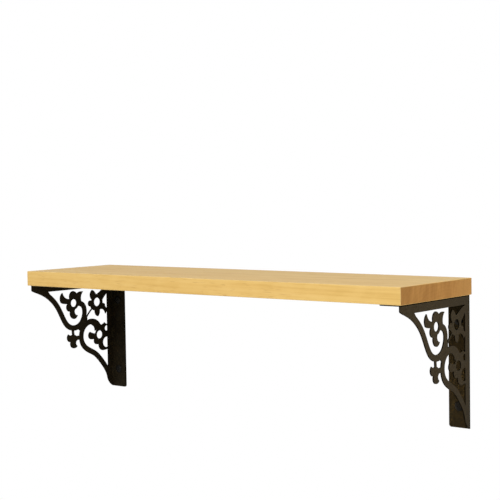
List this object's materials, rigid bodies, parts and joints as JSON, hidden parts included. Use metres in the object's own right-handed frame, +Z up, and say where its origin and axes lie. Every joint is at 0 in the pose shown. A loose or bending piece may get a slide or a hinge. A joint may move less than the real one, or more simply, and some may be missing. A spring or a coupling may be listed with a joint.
{
  "type": "wall shelf with brackets",
  "caption": "Wooden wall shelf carried by black scrollwork steel brackets with floral webs, screwed to the board above and to the wall behind.",
  "frame": {"origin": "middle of the wall screws' pattern, in the plane of the wall", "axes": "+X along the board, +Y into the wall along the wall screws, +Z up"},
  "size_m": [0.762, 0.2212, 0.2284],
  "materials": {
    "wood": "clear satin varnish",
    "bracket_paint": "fine textured powder coat",
    "screw_steel": "black oxide"
  },
  "bodies": {
    "root": {"board": "wood", "left_web": "bracket_paint", "left_shelf_leg": "bracket_paint", "left_wall_leg": "bracket_paint", "left_weld_beads": "bracket_paint", "left_shelf_screws": "screw_steel", "left_wall_screws": "screw_steel", "right_web": "bracket_paint", "right_shelf_leg": "bracket_paint", "right_wall_leg": "bracket_paint", "right_weld_beads": "bracket_paint", "right_shelf_screws": "screw_steel", "right_wall_screws": "screw_steel"}
  },
  "joints": []
}
